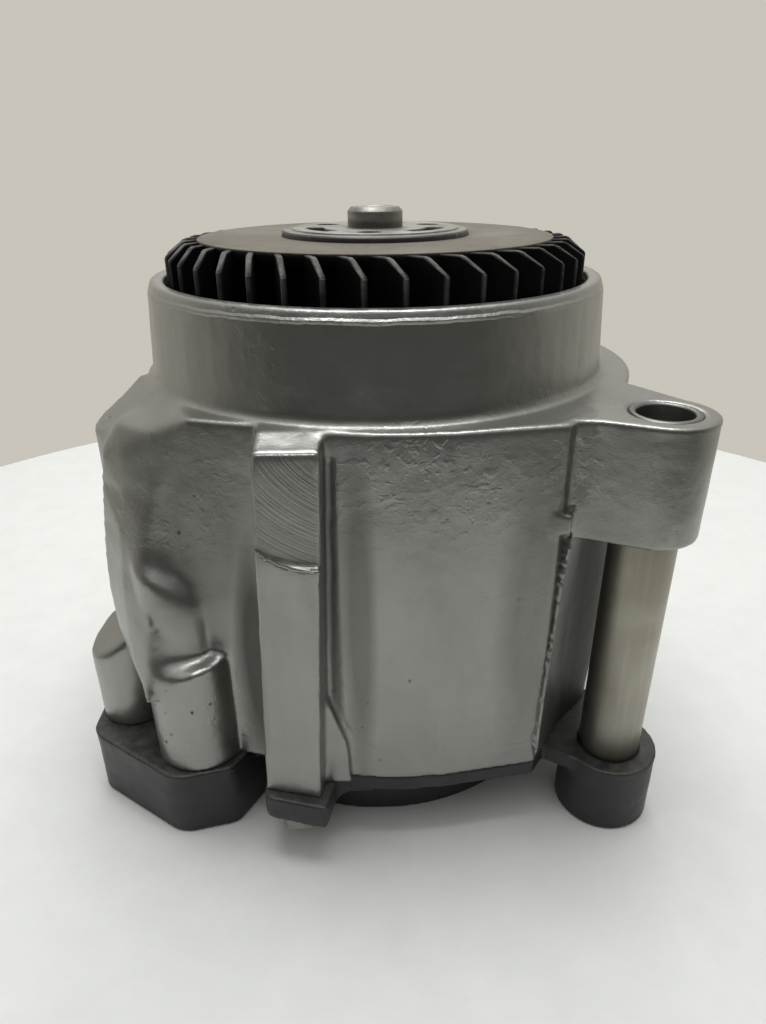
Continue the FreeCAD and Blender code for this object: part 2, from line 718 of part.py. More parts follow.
def shoe_springs():
    # Bowed leaf springs behind the leading shoes
    x = pocket_r + 1.2
    crest = slot_half + shoe_t - spring_room
    foot = crest + spring_room - spring_t
    low = ring_top + 6.0
    high = plate_bottom - 6.0
    middle = (low + high) / 2
    bows = []
    for lift in (0.0, spring_t):
        arc = Part.Arc(V(x, foot + lift, low), V(x, crest + lift, middle), V(x, foot + lift, high))
        bows.append(arc.toShape())
    ends = [Part.makeLine(bows[0].Vertexes[i].Point, bows[1].Vertexes[i].Point) for i in (0, 1)]
    face = Part.Face(Part.Wire(Part.__sortEdges__(bows + ends)))
    leaf = face.extrude(V(shoe_w - 2.4, 0, 0))
    return Part.Compound([leaf, turned(leaf, 180)])


def knuckles(parity):
    # Heights of the hinge knuckles that belong to one vane, from the top down
    span = (axle_top - 0.8) - (boss_top + 1.0)
    pitch = span / knuckle_count
    heights = []
    for k in range(parity, knuckle_count, 2):
        top = axle_top - 0.8 - pitch * k
        heights.append((top - pitch + vane_gap, top))
    return heights


def vane(parity):
    # Vane plate on its hinge knuckles: a full-length outer band and a shorter inner web
    edge = vane_tip - vane_band
    band = box(edge, vane_tip - vane_t / 2, -vane_t / 2, vane_t / 2, vane_bottom, vane_top)
    nose = disc(vane_t / 2, vane_bottom, vane_top, vane_tip - vane_t / 2, 0)
    web_low = rotor_bottom + ring_hub_t + 1.0
    web_high = plate_bottom - 1.0
    web = box(0, edge, -vane_t / 2, vane_t / 2, web_low, web_high)
    forms = [band, nose, web.cut(disc(knuckle_r + 1.0, web_low - 1, web_high + 1))]
    for low, high in knuckles(parity):
        forms.append(disc(knuckle_r, low, high))
        forms.append(box(0, edge, -vane_t / 2, vane_t / 2, low, high))
    solid = fuse_all(forms)
    solid = solid.cut(disc(axle_r + bush_t, joint_z, 0))
    if parity:
        solid = turned(solid, 180)
    solid.translate(V(bore_offset, 0, 0))
    return solid


def vane_bushes(parity):
    # One bush in each knuckle of a vane, running on the axle
    bushes = []
    for low, high in knuckles(parity):
        bushes.append(ring(axle_r + bush_t, axle_r + fit_gap, low, high, bore_offset, 0))
    return Part.Compound(bushes)


def write_parts():
    needles, needle_cage = needle_bearing()
    parts = {
        "housing": housing(),
        "rear_cover": rear_cover(),
        "mounting_tube": ring(tube_r, tube_bore_r, joint_z - flange_t, shoulder_z, ear_x, ear_y),
        "cover_bolts": cover_bolt_set(),
        "cover_dowels": cover_dowel_set(),
        "vane_axle": vane_axle(),
        "bearing_outer_race": bearing_race(bearing_r, outer_groove_r),
        "bearing_inner_race": bearing_race(inner_groove_r, shaft_r),
        "bearing_balls": bearing_balls(),
        "ball_cage": ball_cage(),
        "bearing_shield": bearing_shield(),
        "bearing_snap_ring": snap_ring(),
        "drive_shaft": drive_shaft(),
        "pulley_hub": pulley_hub(),
        "filter_fan": fan(),
        "rotor_drum": rotor_drum(),
        "rotor_ring": rotor_ring(),
        "rotor_ring_screws": ring_screws(),
        "leading_shoes": carbon_shoes(1),
        "trailing_shoes": carbon_shoes(-1),
        "shoe_springs": shoe_springs(),
        "front_carbon_seal": seal_ring(front_seal_r, rotor_top - seal_depth, bore_top - fit_gap),
        "rear_carbon_seal": seal_ring(rear_seal_r, joint_z + fit_gap, rotor_bottom + seal_depth),
        "rear_inner_race": ring(inner_race_r, rear_boss_r, joint_z, boss_top),
        "rear_outer_race": ring(ring_bore_r, outer_race_r, rotor_bottom, rotor_bottom + ring_hub_t),
        "rear_needles": needles,
        "needle_cage": needle_cage,
        "vane_a": vane(0),
        "vane_a_bushes": vane_bushes(0),
        "vane_b": vane(1),
        "vane_b_bushes": vane_bushes(1),
    }
    os.makedirs("parts", exist_ok=True)
    for name, shape in parts.items():
        shape.exportStep("parts/" + name + ".step")
        ok = shape.isValid()
        state = "valid" if ok else "NOT VALID"
        print(name, state, len(shape.Solids), "solids", round(shape.Volume / 1000, 2), "cc")


write_parts()
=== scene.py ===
import bpy
import bmesh
import json
import math
import numpy
from mathutils import Matrix, Vector, noise


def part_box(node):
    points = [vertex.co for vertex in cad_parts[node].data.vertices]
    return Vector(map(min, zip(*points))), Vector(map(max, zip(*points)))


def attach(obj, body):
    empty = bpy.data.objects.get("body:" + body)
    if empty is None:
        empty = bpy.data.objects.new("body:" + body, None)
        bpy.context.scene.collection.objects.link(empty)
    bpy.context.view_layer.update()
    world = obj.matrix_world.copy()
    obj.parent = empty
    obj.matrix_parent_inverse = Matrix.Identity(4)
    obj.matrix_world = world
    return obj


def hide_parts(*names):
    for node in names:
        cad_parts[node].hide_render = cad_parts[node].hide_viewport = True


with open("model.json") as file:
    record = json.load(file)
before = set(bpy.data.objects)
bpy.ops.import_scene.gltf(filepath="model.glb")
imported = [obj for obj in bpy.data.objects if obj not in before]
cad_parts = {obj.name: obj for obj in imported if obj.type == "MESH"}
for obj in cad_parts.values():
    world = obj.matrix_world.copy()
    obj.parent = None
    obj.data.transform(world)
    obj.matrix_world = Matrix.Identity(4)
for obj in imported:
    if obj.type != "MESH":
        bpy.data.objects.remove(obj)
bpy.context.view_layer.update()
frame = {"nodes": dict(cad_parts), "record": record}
print("frame loaded:", len(frame["nodes"]), "nodes")

mm = 0.001
up = Vector((0, 0, 1))


# Mesh helpers

def addPiece(name, bm, body, material, replaced=()):
    mesh = bpy.data.meshes.new(name)
    bm.to_mesh(mesh)
    bm.free()
    piece = bpy.data.objects.new(name, mesh)
    bpy.context.scene.collection.objects.link(piece)
    mesh.materials.append(material)
    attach(piece, body)
    if replaced:
        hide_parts(*replaced)
    return piece


def shadeByAngle(bm, degrees=32):
    limit = math.radians(degrees)
    for face in bm.faces:
        face.smooth = True
    for edge in bm.edges:
        edge.smooth = len(edge.link_faces) != 2 or edge.calc_face_angle(0) < limit


def softenEdges(bm, width, degrees=28, segments=2):
    limit = math.radians(degrees)
    sharp = [e for e in bm.edges if len(e.link_faces) == 2 and e.calc_face_angle(0) > limit]
    bmesh.ops.bevel(bm, geom=sharp, offset=width, offset_type="OFFSET", segments=segments,
                    profile=0.5, affect="EDGES", clamp_overlap=True, material=-1)


def turnProfile(points, steps, x=0.0, y=0.0):
    # Spins a profile of (radius, height) points round an upright axis
    bm = bmesh.new()
    ring = [bm.verts.new((x + r, y, z)) for r, z in points]
    edges = [bm.edges.new((ring[i - 1], ring[i])) for i in range(1, len(ring))]
    if points[0][0] > 0 or points[-1][0] > 0:
        edges.append(bm.edges.new((ring[-1], ring[0])))
    bmesh.ops.spin(bm, geom=ring + edges, cent=(x, y, 0), axis=up, dvec=(0, 0, 0),
                   angle=2 * math.pi, steps=steps, use_merge=True, use_duplicate=False)
    bmesh.ops.remove_doubles(bm, verts=bm.verts, dist=1e-6)
    bmesh.ops.recalc_face_normals(bm, faces=bm.faces)
    return bm


def finishedMesh(piece):
    # Puts the result of the modifiers into the piece's own mesh
    graph = bpy.context.evaluated_depsgraph_get()
    result = bpy.data.meshes.new_from_object(piece.evaluated_get(graph))
    old = piece.data
    piece.modifiers.clear()
    piece.data = result
    result.name = old.name
    bpy.data.meshes.remove(old)


def mergedCopy(node):
    bm = bmesh.new()
    bm.from_mesh(frame["nodes"][node].data)
    bmesh.ops.remove_doubles(bm, verts=bm.verts, dist=2e-6)
    bmesh.ops.dissolve_degenerate(bm, edges=bm.edges, dist=1e-7)
    return bm


def joinInto(bm, other):
    mesh = bpy.data.meshes.new("joined")
    other.to_mesh(mesh)
    other.free()
    bm.from_mesh(mesh)
    bpy.data.meshes.remove(mesh)


# Node helpers

def addNode(tree, kind, **values):
    node = tree.nodes.new(kind)
    for name, value in values.items():
        if hasattr(node, name):
            setattr(node, name, value)
        else:
            node.inputs[name.replace("_", " ")].default_value = value
    return node


def wire(tree, source, target):
    tree.links.new(source, target)


def startGroup(name, inputs, outputs):
    group = bpy.data.node_groups.new(name, "ShaderNodeTree")
    for title, kind, value in inputs:
        socket = group.interface.new_socket(name=title, in_out="INPUT", socket_type=kind)
        if value is not None:
            socket.default_value = value
    for title, kind in outputs:
        group.interface.new_socket(name=title, in_out="OUTPUT", socket_type=kind)
    return group, addNode(group, "NodeGroupInput"), addNode(group, "NodeGroupOutput")


def mathNode(tree, operation, first, second=None, clamp=False):
    node = addNode(tree, "ShaderNodeMath", operation=operation, use_clamp=clamp)
    for socket, value in zip(node.inputs, (first, second)):
        if value is None:
            continue
        if isinstance(value, (int, float)):
            socket.default_value = value
        else:
            wire(tree, value, socket)
    return node.outputs[0]


def remap(tree, value, low, high, toLow=0.0, toHigh=1.0):
    node = addNode(tree, "ShaderNodeMapRange", clamp=True)
    wire(tree, value, node.inputs["Value"])
    for title, number in (("From Min", low), ("From Max", high), ("To Min", toLow),
                          ("To Max", toHigh)):
        if isinstance(number, (int, float)):
            node.inputs[title].default_value = number
        else:
            wire(tree, number, node.inputs[title])
    return node.outputs["Result"]


def mixColour(tree, mask, first, second):
    node = addNode(tree, "ShaderNodeMix", data_type="RGBA", blend_type="MIX")
    wire(tree, mask, node.inputs["Factor"])
    for socket, value in ((node.inputs["A"], first), (node.inputs["B"], second)):
        if isinstance(value, tuple):
            socket.default_value = value + (1.0,)
        else:
            wire(tree, value, socket)
    return node.outputs["Result"]


# Effects that several materials share

def buildEdgeWear():
    # Masks of the rubbed outer edges and of the hollows, from the piece's own edge attribute
    group, start, end = startGroup("edgeWear", [("Vector", "NodeSocketVector", None),
                                                ("Low", "NodeSocketFloat", 0.3),
                                                ("High", "NodeSocketFloat", 0.95),
                                                ("Breakup Scale", "NodeSocketFloat", 120.0)],
                                   [("Mask", "NodeSocketFloat"), ("Hollow", "NodeSocketFloat")])
    shape = addNode(group, "ShaderNodeAttribute", attribute_type="GEOMETRY", attribute_name="edge")
    spots = addNode(group, "ShaderNodeTexNoise", Detail=6.0, Roughness=0.72)
    wire(group, start.outputs["Vector"], spots.inputs["Vector"])
    wire(group, start.outputs["Breakup Scale"], spots.inputs["Scale"])
    edge = remap(group, shape.outputs["Fac"], start.outputs["Low"], start.outputs["High"])
    broken = remap(group, spots.outputs["Fac"], 0.38, 0.6)
    wire(group, mathNode(group, "MULTIPLY", edge, broken, True), end.inputs["Mask"])
    wire(group, remap(group, shape.outputs["Fac"], -0.35, -1.3), end.inputs["Hollow"])
    return group


def buildGrime():
    # Mask of dirt in soft uneven patches
    group, start, end = startGroup("grime", [("Vector", "NodeSocketVector", None),
                                             ("Scale", "NodeSocketFloat", 30.0),
                                             ("Patches", "NodeSocketFloat", 0.4)],
                                   [("Mask", "NodeSocketFloat")])
    patches = addNode(group, "ShaderNodeTexNoise", Detail=9.0, Roughness=0.64, Distortion=0.5)
    wire(group, start.outputs["Vector"], patches.inputs["Vector"])
    wire(group, start.outputs["Scale"], patches.inputs["Scale"])
    soft = remap(group, patches.outputs["Fac"], 0.42, 0.75)
    wire(group, mathNode(group, "MULTIPLY", soft, start.outputs["Patches"], True),
         end.inputs["Mask"])
    return group


def buildCastSkin():
    # Height, in millimetres, of a painted casting: sandy grain, patches of dents and a few pits
    group, start, end = startGroup("castSkin", [("Vector", "NodeSocketVector", None),
                                                ("Grain", "NodeSocketFloat", 0.045),
                                                ("Dents", "NodeSocketFloat", 0.06),
                                                ("Patch Size", "NodeSocketFloat", 34.0),
                                                ("Pit Scale", "NodeSocketFloat", 190.0)],
                                   [("Height", "NodeSocketFloat"), ("Pits", "NodeSocketFloat")])
    grain = addNode(group, "ShaderNodeTexNoise", Scale=1900.0, Detail=3.0, Roughness=0.6)
    dents = addNode(group, "ShaderNodeTexNoise", Scale=430.0, Detail=2.0, Roughness=0.5,
                    Distortion=0.3)
    slow = addNode(group, "ShaderNodeTexNoise", Scale=75.0, Detail=3.0, Roughness=0.5)
    pits = addNode(group, "ShaderNodeTexVoronoi", feature="F1", Randomness=1.0)
    where = addNode(group, "ShaderNodeTexNoise", Detail=3.0)
    wire(group, start.outputs["Patch Size"], where.inputs["Scale"])
    wire(group, start.outputs["Pit Scale"], pits.inputs["Scale"])
    for node in (grain, dents, slow, pits, where):
        wire(group, start.outputs["Vector"], node.inputs["Vector"])
    hole = remap(group, pits.outputs["Distance"], 0.04, 0.13, 1.0, 0.0)
    hole = mathNode(group, "MULTIPLY", hole, remap(group, where.outputs["Fac"], 0.56, 0.64))
    patch = remap(group, where.outputs["Fac"], 0.46, 0.66, 0.06, 1.0)
    dented = mathNode(group, "MULTIPLY",
                      mathNode(group, "MULTIPLY", remap(group, dents.outputs["Fac"], 0.52, 0.68),
                               patch),
                      start.outputs["Dents"])
    height = mathNode(group, "ADD", mathNode(group, "MULTIPLY", grain.outputs["Fac"],
                                             start.outputs["Grain"]), dented)
    height = mathNode(group, "ADD", height, mathNode(group, "MULTIPLY", slow.outputs["Fac"], 0.45))
    wire(group, mathNode(group, "SUBTRACT", height, mathNode(group, "MULTIPLY", hole, 0.2)),
         end.inputs["Height"])
    wire(group, hole, end.inputs["Pits"])
    return group


def buildZone():
    # Mask of one place: full near its centre and gone at the edge of an ellipsoid
    group, start, end = startGroup("zone", [("Vector", "NodeSocketVector", None),
                                            ("Centre", "NodeSocketVector", None),
                                            ("Reach", "NodeSocketVector", None),
                                            ("Strength", "NodeSocketFloat", 1.0)],
                                   [("Mask", "NodeSocketFloat")])
    away = addNode(group, "ShaderNodeVectorMath", operation="SUBTRACT")
    scaled = addNode(group, "ShaderNodeVectorMath", operation="DIVIDE")
    length = addNode(group, "ShaderNodeVectorMath", operation="LENGTH")
    wire(group, start.outputs["Vector"], away.inputs[0])
    wire(group, start.outputs["Centre"], away.inputs[1])
    wire(group, away.outputs["Vector"], scaled.inputs[0])
    wire(group, start.outputs["Reach"], scaled.inputs[1])
    wire(group, scaled.outputs["Vector"], length.inputs[0])
    near = remap(group, length.outputs["Value"], 0.45, 1.0, 1.0, 0.0)
    wire(group, mathNode(group, "MULTIPLY", near, start.outputs["Strength"]), end.inputs["Mask"])
    return group


def buildDust():
    # Mask of dust that settles on faces that look up
    group, start, end = startGroup("settledDust", [("Vector", "NodeSocketVector", None),
                                                   ("Scale", "NodeSocketFloat", 400.0),
                                                   ("Amount", "NodeSocketFloat", 0.5)],
                                   [("Mask", "NodeSocketFloat")])
    shape = addNode(group, "ShaderNodeNewGeometry")
    parts = addNode(group, "ShaderNodeSeparateXYZ")
    specks = addNode(group, "ShaderNodeTexNoise", Detail=8.0, Roughness=0.75)
    wire(group, shape.outputs["Normal"], parts.inputs["Vector"])
    wire(group, start.outputs["Vector"], specks.inputs["Vector"])
    wire(group, start.outputs["Scale"], specks.inputs["Scale"])
    level = remap(group, parts.outputs["Z"], 0.3, 0.95)
    spread = mathNode(group, "MULTIPLY", remap(group, specks.outputs["Fac"], 0.35, 0.65),
                      start.outputs["Amount"])
    wire(group, mathNode(group, "MULTIPLY", level, spread, True), end.inputs["Mask"])
    return group


effects = {"edgeWear": buildEdgeWear(), "grime": buildGrime(), "castSkin": buildCastSkin(),
           "dust": buildDust(), "zone": buildZone()}


def useEffect(tree, name, vector, **values):
    node = addNode(tree, "ShaderNodeGroup")
    node.node_tree = effects[name]
    wire(tree, vector, node.inputs["Vector"])
    for title, value in values.items():
        node.inputs[title.replace("_", " ")].default_value = value
    return node.outputs


def startMaterial(name, **values):
    material = bpy.data.materials.new(name)
    material.use_nodes = True
    tree = material.node_tree
    shader = tree.nodes["Principled BSDF"]
    for title, value in values.items():
        shader.inputs[title.replace("_", " ")].default_value = value
    place = addNode(tree, "ShaderNodeTexCoord")
    return material, tree, shader, place.outputs["Object"]


def addBump(tree, shader, height, strength, distance, base=None):
    bump = addNode(tree, "ShaderNodeBump", Strength=strength, Distance=distance)
    wire(tree, height, bump.inputs["Height"])
    if base is not None:
        wire(tree, base, bump.inputs["Normal"])
    wire(tree, bump.outputs["Normal"], shader.inputs["Normal"])
    return bump.outputs["Normal"]


# Materials

def castPaint():
    look = {"paint": (0.33, 0.332, 0.316), "shade": (0.26, 0.256, 0.236),
            "bare": (0.62, 0.64, 0.63),
            "paintedShade": (0.05, 0.048, 0.042), "gloss": (0.27, 0.37), "metal": 0.86,
            "arcCentre": (-0.001, 0.0, -0.029),
            "padCentre": (-0.015, 0.0, -0.046), "padRadius": 0.0242, "padPlane": 0.075,
            "beadHeight": -0.0144}
    # Places darkened with painted shade, where recesses and walls lie in shadow: centre, reach and
    # strength
    paintedShadePlaces = [((-0.034, -0.064, -0.108), (0.008, 0.014, 0.05), 0.75),
                  ((-0.005, -0.070, -0.09), (0.005, 0.008, 0.06), 0.4),
                  ((0.041, -0.066, -0.09), (0.012, 0.010, 0.06), 0.3),
                  ((-0.045, -0.058, -0.07), (0.018, 0.012, 0.04), 0.35),
                  ((0.063, -0.044, -0.108), (0.026, 0.032, 0.075), 1.0),
                  ((-0.012, -0.069, -0.09), (0.0025, 0.004, 0.07), 0.5)]
    material, tree, shader, place = startMaterial("silverCastPaint")
    skin = useEffect(tree, "castSkin", place)
    edges = useEffect(tree, "edgeWear", place, Low=0.7, High=1.6, Breakup_Scale=420.0)
    dirt = useEffect(tree, "grime", place, Scale=26.0, Patches=0.5)["Mask"]
    streaks = addNode(tree, "ShaderNodeMapping")
    streaks.inputs["Scale"].default_value = (1.0, 1.0, 0.25)
    wire(tree, place, streaks.inputs["Vector"])
    rubbed = addNode(tree, "ShaderNodeTexNoise", Scale=42.0, Detail=8.0, Roughness=0.66,
                     Distortion=0.8)
    wire(tree, streaks.outputs["Vector"], rubbed.inputs["Vector"])
    colour = mixColour(tree, remap(tree, rubbed.outputs["Fac"], 0.38, 0.72, 0.0, 0.45),
                       look["paint"], look["shade"])
    colour = mixColour(tree, mathNode(tree, "MULTIPLY", dirt, 0.8), colour, look["shade"])
    # Painted shade: the hollows and the places above take the darkest colour, as shadow falls there
    dark = mathNode(tree, "MULTIPLY", edges["Hollow"], 0.5)
    for centre, reach, strength in paintedShadePlaces:
        spot = useEffect(tree, "zone", place, Centre=centre, Reach=reach, Strength=strength)["Mask"]
        dark = mathNode(tree, "MAXIMUM", dark, spot)
    colour = mixColour(tree, dark, colour, look["paintedShade"])
    # The casting's pits are darkened with the same painted shade
    colour = mixColour(tree, mathNode(tree, "MULTIPLY", skin["Pits"], 0.85), colour, look["paintedShade"])
    # Pale rubbed edges; on this paint they are partly wear and partly painted highlight along the convex
    # edges
    wire(tree, mixColour(tree, edges["Mask"], colour, look["bare"]), shader.inputs["Base Color"])
    gloss = remap(tree, rubbed.outputs["Fac"], 0.3, 0.7, *look["gloss"])
    wire(tree, mathNode(tree, "ADD", gloss, mathNode(tree, "MULTIPLY", dark, 0.25), True),
         shader.inputs["Roughness"])
    wire(tree, mathNode(tree, "SUBTRACT", look["metal"],
                        mathNode(tree, "MULTIPLY", skin["Pits"], 0.5), True),
         shader.inputs["Metallic"])
    # Milling arcs on the bracket pad
    sweeps = []
    for key in ("arcCentre", "padCentre"):
        away = addNode(tree, "ShaderNodeVectorMath", operation="SUBTRACT")
        flat = addNode(tree, "ShaderNodeVectorMath", operation="MULTIPLY")
        length = addNode(tree, "ShaderNodeVectorMath", operation="LENGTH")
        wire(tree, place, away.inputs[0])
        away.inputs[1].default_value = look[key]
        wire(tree, away.outputs["Vector"], flat.inputs[0])
        flat.inputs[1].default_value = (1.0, 0.0, 1.0)
        wire(tree, flat.outputs["Vector"], length.inputs[0])
        sweeps.append(length.outputs["Value"])
    arcs = addNode(tree, "ShaderNodeTexNoise", noise_dimensions="1D", Scale=1500.0, Detail=4.0,
                   Roughness=0.65)
    wire(tree, sweeps[0], arcs.inputs["W"])
    parts = addNode(tree, "ShaderNodeSeparateXYZ")
    wire(tree, place, parts.inputs["Vector"])
    level = mathNode(tree, "ABSOLUTE", mathNode(tree, "ADD", parts.outputs["Y"], look["padPlane"]))
    onPad = mathNode(tree, "MULTIPLY", remap(tree, level, 0.0003, 0.00045, 1.0, 0.0),
                     remap(tree, sweeps[1], look["padRadius"] - 0.0004, look["padRadius"], 1.0,
                           0.0))
    # Raised bead under the rim's slope
    sway = addNode(tree, "ShaderNodeTexNoise", Scale=160.0, Detail=4.0, Roughness=0.6)
    wire(tree, place, sway.inputs["Vector"])
    offLine = mathNode(tree, "SUBTRACT", parts.outputs["Z"], look["beadHeight"])
    offLine = mathNode(tree, "ABSOLUTE",
                       mathNode(tree, "ADD", offLine,
                                remap(tree, sway.outputs["Fac"], 0.3, 0.7, -0.0002, 0.0002)))
    bead = remap(tree, offLine, 0.0001, 0.0007, 0.3, 0.0)
    height = mathNode(tree, "ADD", skin["Height"], bead)
    smooth = addBump(tree, shader, height, 1.0, 0.001)
    addBump(tree, shader, mathNode(tree, "MULTIPLY", arcs.outputs["Fac"], onPad), 0.5, 0.0003,
            smooth)
    return material


def ironPaint():
    look = {"paint": (0.02, 0.0225, 0.0235), "grey": (0.045, 0.048, 0.048),
            "bare": (0.3, 0.275, 0.23), "dust": (0.095, 0.09, 0.079)}
    material, tree, shader, place = startMaterial("blackIronPaint", Metallic=0.2)
    skin = useEffect(tree, "castSkin", place, Grain=0.05, Dents=0.07, Patch_Size=60.0,
                     Pit_Scale=130.0)
    edges = useEffect(tree, "edgeWear", place, Low=0.9, High=2.0, Breakup_Scale=300.0)
    dirt = useEffect(tree, "grime", place, Scale=38.0, Patches=0.85)["Mask"]
    dust = useEffect(tree, "dust", place, Scale=260.0, Amount=0.9)["Mask"]
    colour = mixColour(tree, dirt, look["paint"], look["grey"])
    colour = mixColour(tree, dust, colour, look["dust"])
    wire(tree, mixColour(tree, edges["Mask"], colour, look["bare"]), shader.inputs["Base Color"])
    wire(tree, remap(tree, dirt, 0.0, 1.0, 0.38, 0.6), shader.inputs["Roughness"])
    addBump(tree, shader, skin["Height"], 1.0, 0.001)
    return material


def tubeSteel():
    look = {"steel": (0.37, 0.352, 0.305), "warm": (0.3, 0.275, 0.225), "cool": (0.44, 0.43, 0.4),
            "spray": (0.2, 0.2, 0.19)}
    material, tree, shader, place = startMaterial("drawnTubeSteel", Metallic=0.92)
    parts = addNode(tree, "ShaderNodeSeparateXYZ")
    wire(tree, place, parts.inputs["Vector"])
    topEnd = remap(tree, parts.outputs["Z"], -0.055, -0.044)
    tone = addNode(tree, "ShaderNodeTexNoise", Scale=34.0, Detail=5.0, Roughness=0.55,
                   Distortion=0.4)
    lines = addNode(tree, "ShaderNodeMapping")
    lines.inputs["Scale"].default_value = (1.0, 1.0, 0.03)
    for node in (tone, lines):
        wire(tree, place, node.inputs["Vector"])
    fine = addNode(tree, "ShaderNodeTexNoise", Scale=800.0, Detail=3.0, Roughness=0.6)
    wire(tree, lines.outputs["Vector"], fine.inputs["Vector"])
    colour = mixColour(tree, remap(tree, tone.outputs["Fac"], 0.38, 0.62), look["warm"],
                       look["steel"])
    colour = mixColour(tree, remap(tree, fine.outputs["Fac"], 0.5, 0.75, 0.0, 0.4), colour,
                       look["cool"])
    wire(tree, mixColour(tree, topEnd, colour, look["spray"]), shader.inputs["Base Color"])
    wire(tree, remap(tree, tone.outputs["Fac"], 0.3, 0.7, 0.42, 0.33), shader.inputs["Roughness"])
    addBump(tree, shader, fine.outputs["Fac"], 0.25, 0.00006)
    return material


def fanPlastic():
    look = {"black": (0.0032, 0.0033, 0.0034), "scuffed": (0.014, 0.014, 0.0145),
            "rubbed": (0.15, 0.147, 0.137),
            "sprayDark": (0.085, 0.076, 0.06), "spray": (0.15, 0.135, 0.105),
            "sprayPale": (0.2, 0.187, 0.155)}
    material, tree, shader, place = startMaterial("blackFanPlastic")
    shader.inputs["Specular IOR Level"].default_value = 0.14
    parts = addNode(tree, "ShaderNodeSeparateXYZ")
    wire(tree, place, parts.inputs["Vector"])
    height = parts.outputs["Z"]
    square = mathNode(tree, "ADD",
                      mathNode(tree, "MULTIPLY", parts.outputs["X"], parts.outputs["X"]),
                      mathNode(tree, "MULTIPLY", parts.outputs["Y"], parts.outputs["Y"]))
    radius = mathNode(tree, "SQRT", square)
    specks = addNode(tree, "ShaderNodeTexNoise", Scale=620.0, Detail=6.0, Roughness=0.8)
    clouds = addNode(tree, "ShaderNodeTexNoise", Scale=42.0, Detail=6.0, Roughness=0.62,
                     Distortion=0.6)
    spots = addNode(tree, "ShaderNodeTexNoise", Scale=210.0, Detail=5.0, Roughness=0.7)
    for node in (specks, clouds, spots):
        wire(tree, place, node.inputs["Vector"])
    # The blades' outer ends and their sloping tops are rubbed pale
    ends = mathNode(tree, "MULTIPLY", remap(tree, radius, 0.0593, 0.0597),
                    remap(tree, height, -0.016, -0.006, 0.03, 0.75))
    slope = remap(tree, radius, 0.0547, 0.06, -0.0024, -0.006)
    tops = mathNode(tree, "MULTIPLY",
                    remap(tree, mathNode(tree, "SUBTRACT", height, slope), -0.0005, -0.0002),
                    remap(tree, radius, 0.0515, 0.0555, 0.15, 1.0))
    rub = mathNode(tree, "MULTIPLY", mathNode(tree, "MAXIMUM", ends, tops),
                   remap(tree, spots.outputs["Fac"], 0.36, 0.6, 0.25, 1.0))
    colour = mixColour(tree, remap(tree, clouds.outputs["Fac"], 0.4, 0.75, 0.0, 0.6), look["black"],
                       look["scuffed"])
    colour = mixColour(tree, rub, colour, look["rubbed"])
    spray = mixColour(tree, remap(tree, specks.outputs["Fac"], 0.4, 0.6), look["sprayDark"],
                      look["spray"])
    spray = mixColour(tree, remap(tree, clouds.outputs["Fac"], 0.42, 0.7, 0.0, 0.7), spray,
                      look["sprayPale"])
    onDisc = mathNode(tree, "MULTIPLY", remap(tree, height, -0.00245, -0.0022),
                      remap(tree, radius, 0.0508, 0.0511, 1.0, 0.0))
    wire(tree, mixColour(tree, onDisc, colour, spray), shader.inputs["Base Color"])
    wire(tree, remap(tree, specks.outputs["Fac"], 0.3, 0.7, 0.4, 0.6), shader.inputs["Roughness"])
    addBump(tree, shader, specks.outputs["Fac"], 0.25, 0.0001)
    return material


def hubSteel():
    look = {"black": (0.013, 0.013, 0.0135), "spray": (0.27, 0.262, 0.24),
            "grime": (0.09, 0.085, 0.072), "bare": (0.3, 0.3, 0.29)}
    material, tree, shader, place = startMaterial("pressedHubSteel")
    parts = addNode(tree, "ShaderNodeSeparateXYZ")
    wire(tree, place, parts.inputs["Vector"])
    top = remap(tree, parts.outputs["Z"], -0.00065, -0.00045)
    rimSpray = remap(tree, parts.outputs["Z"], -0.0025, -0.0009, 0.0, 0.12)
    dirt = useEffect(tree, "grime", place, Scale=85.0, Patches=1.0)["Mask"]
    spots = addNode(tree, "ShaderNodeTexNoise", Scale=500.0, Detail=6.0, Roughness=0.7)
    wire(tree, place, spots.inputs["Vector"])
    spray = mixColour(tree, dirt, look["spray"], look["grime"])
    colour = mixColour(tree, mathNode(tree, "MAXIMUM", top, rimSpray), look["black"], spray)
    fleck = mathNode(tree, "MULTIPLY", remap(tree, spots.outputs["Fac"], 0.6, 0.7), 0.5)
    wire(tree, mixColour(tree, fleck, colour, look["bare"]), shader.inputs["Base Color"])
    wire(tree, mathNode(tree, "MULTIPLY", top, 0.55), shader.inputs["Metallic"])
    wire(tree, remap(tree, dirt, 0.0, 1.0, 0.4, 0.58), shader.inputs["Roughness"])
    addBump(tree, shader, spots.outputs["Fac"], 0.35, 0.0001)
    return material


